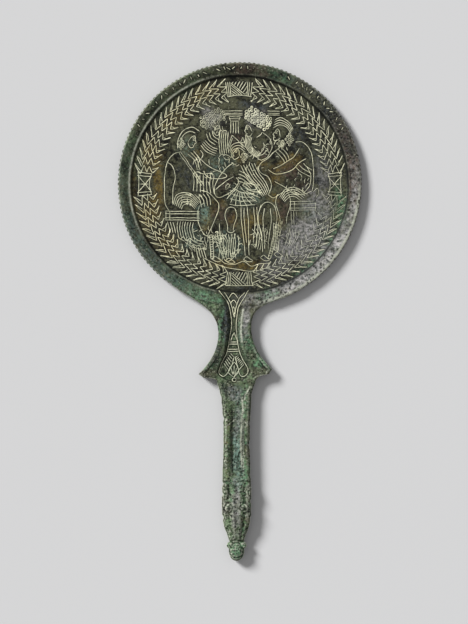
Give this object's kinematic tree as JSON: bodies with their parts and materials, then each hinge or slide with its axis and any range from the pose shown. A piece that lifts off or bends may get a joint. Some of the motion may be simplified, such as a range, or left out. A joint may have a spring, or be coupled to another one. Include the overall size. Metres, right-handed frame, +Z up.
{
  "type": "etruscan hand mirror",
  "caption": "Ancient bronze hand mirror lying engraved side up, with a round disc in a notched rim, a waisted neck with pointed shoulders and a grip ending in an animal's head.",
  "frame": {"origin": "centre of the flat middle of the reflecting face, which is the underside", "axes": "+Z up through the engraved back, +Y from the handle to the top of the disc, +X to the right seen from above"},
  "size_m": [0.15, 0.3062, 0.0109],
  "materials": {
    "bronze": "corroded cast bronze with brown, olive, green and blue-green patina and pale lines cut in it"
  },
  "bodies": {
    "root": {"mirror": "bronze"}
  },
  "joints": []
}
